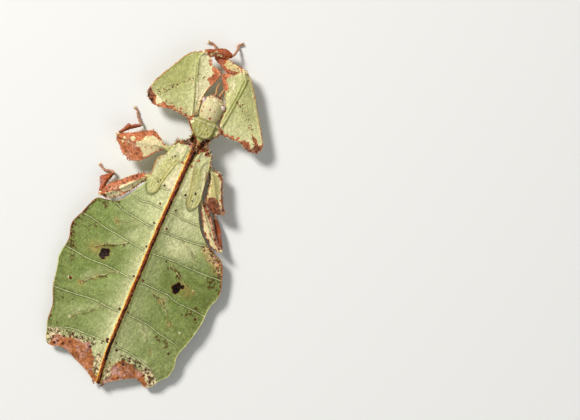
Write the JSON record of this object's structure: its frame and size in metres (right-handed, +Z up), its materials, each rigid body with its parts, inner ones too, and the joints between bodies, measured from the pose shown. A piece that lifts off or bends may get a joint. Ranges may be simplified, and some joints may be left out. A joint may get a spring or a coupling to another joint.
{
  "type": "leaf insect",
  "caption": "Life-size leaf insect, nearly grown female with wing pads, lying with its lobed legs spread on a level surface.",
  "frame": {"origin": "middle of the insect's bounding box, on the surface it lies on", "axes": "+Y from the abdomen towards the head, +Z up out of the back, +X towards its right"},
  "size_m": [0.048, 0.1092, 0.0081],
  "materials": {
    "leaf_green": "satin",
    "pad_green": "satin",
    "pale_green": "satin",
    "rust_brown": "matte",
    "antenna_orange": "satin",
    "eye_pink": "gloss"
  },
  "bodies": {
    "root": {"head": "pale_green", "eye_left": "eye_pink", "eye_right": "eye_pink", "antenna_left": "antenna_orange", "antenna_right": "antenna_orange", "mouthparts": "pale_green", "prothorax": "pad_green", "mesothorax": "pad_green", "metathorax": "leaf_green", "wing_pad_left": "pad_green", "wing_pad_right": "pad_green", "abdomen": "leaf_green", "cercus_left": "rust_brown", "cercus_right": "rust_brown", "coxa_fore_left": "rust_brown", "coxa_fore_right": "rust_brown", "coxa_mid_left": "rust_brown", "coxa_mid_right": "rust_brown", "coxa_hind_left": "rust_brown", "coxa_hind_right": "rust_brown", "femur_fore_left": "pad_green", "femur_fore_right": "pad_green", "femur_mid_left": "pad_green", "femur_mid_right": "pad_green", "femur_hind_left": "pad_green", "femur_hind_right": "pad_green", "tibia_fore_left": "rust_brown", "tibia_fore_right": "rust_brown", "tibia_mid_left": "rust_brown", "tibia_mid_right": "rust_brown", "tibia_hind_left": "rust_brown", "tibia_hind_right": "rust_brown", "tarsus_fore_left": "rust_brown", "tarsus_fore_right": "rust_brown", "tarsus_mid_left": "rust_brown", "tarsus_mid_right": "rust_brown", "tarsus_hind_left": "rust_brown", "tarsus_hind_right": "rust_brown"}
  },
  "joints": []
}
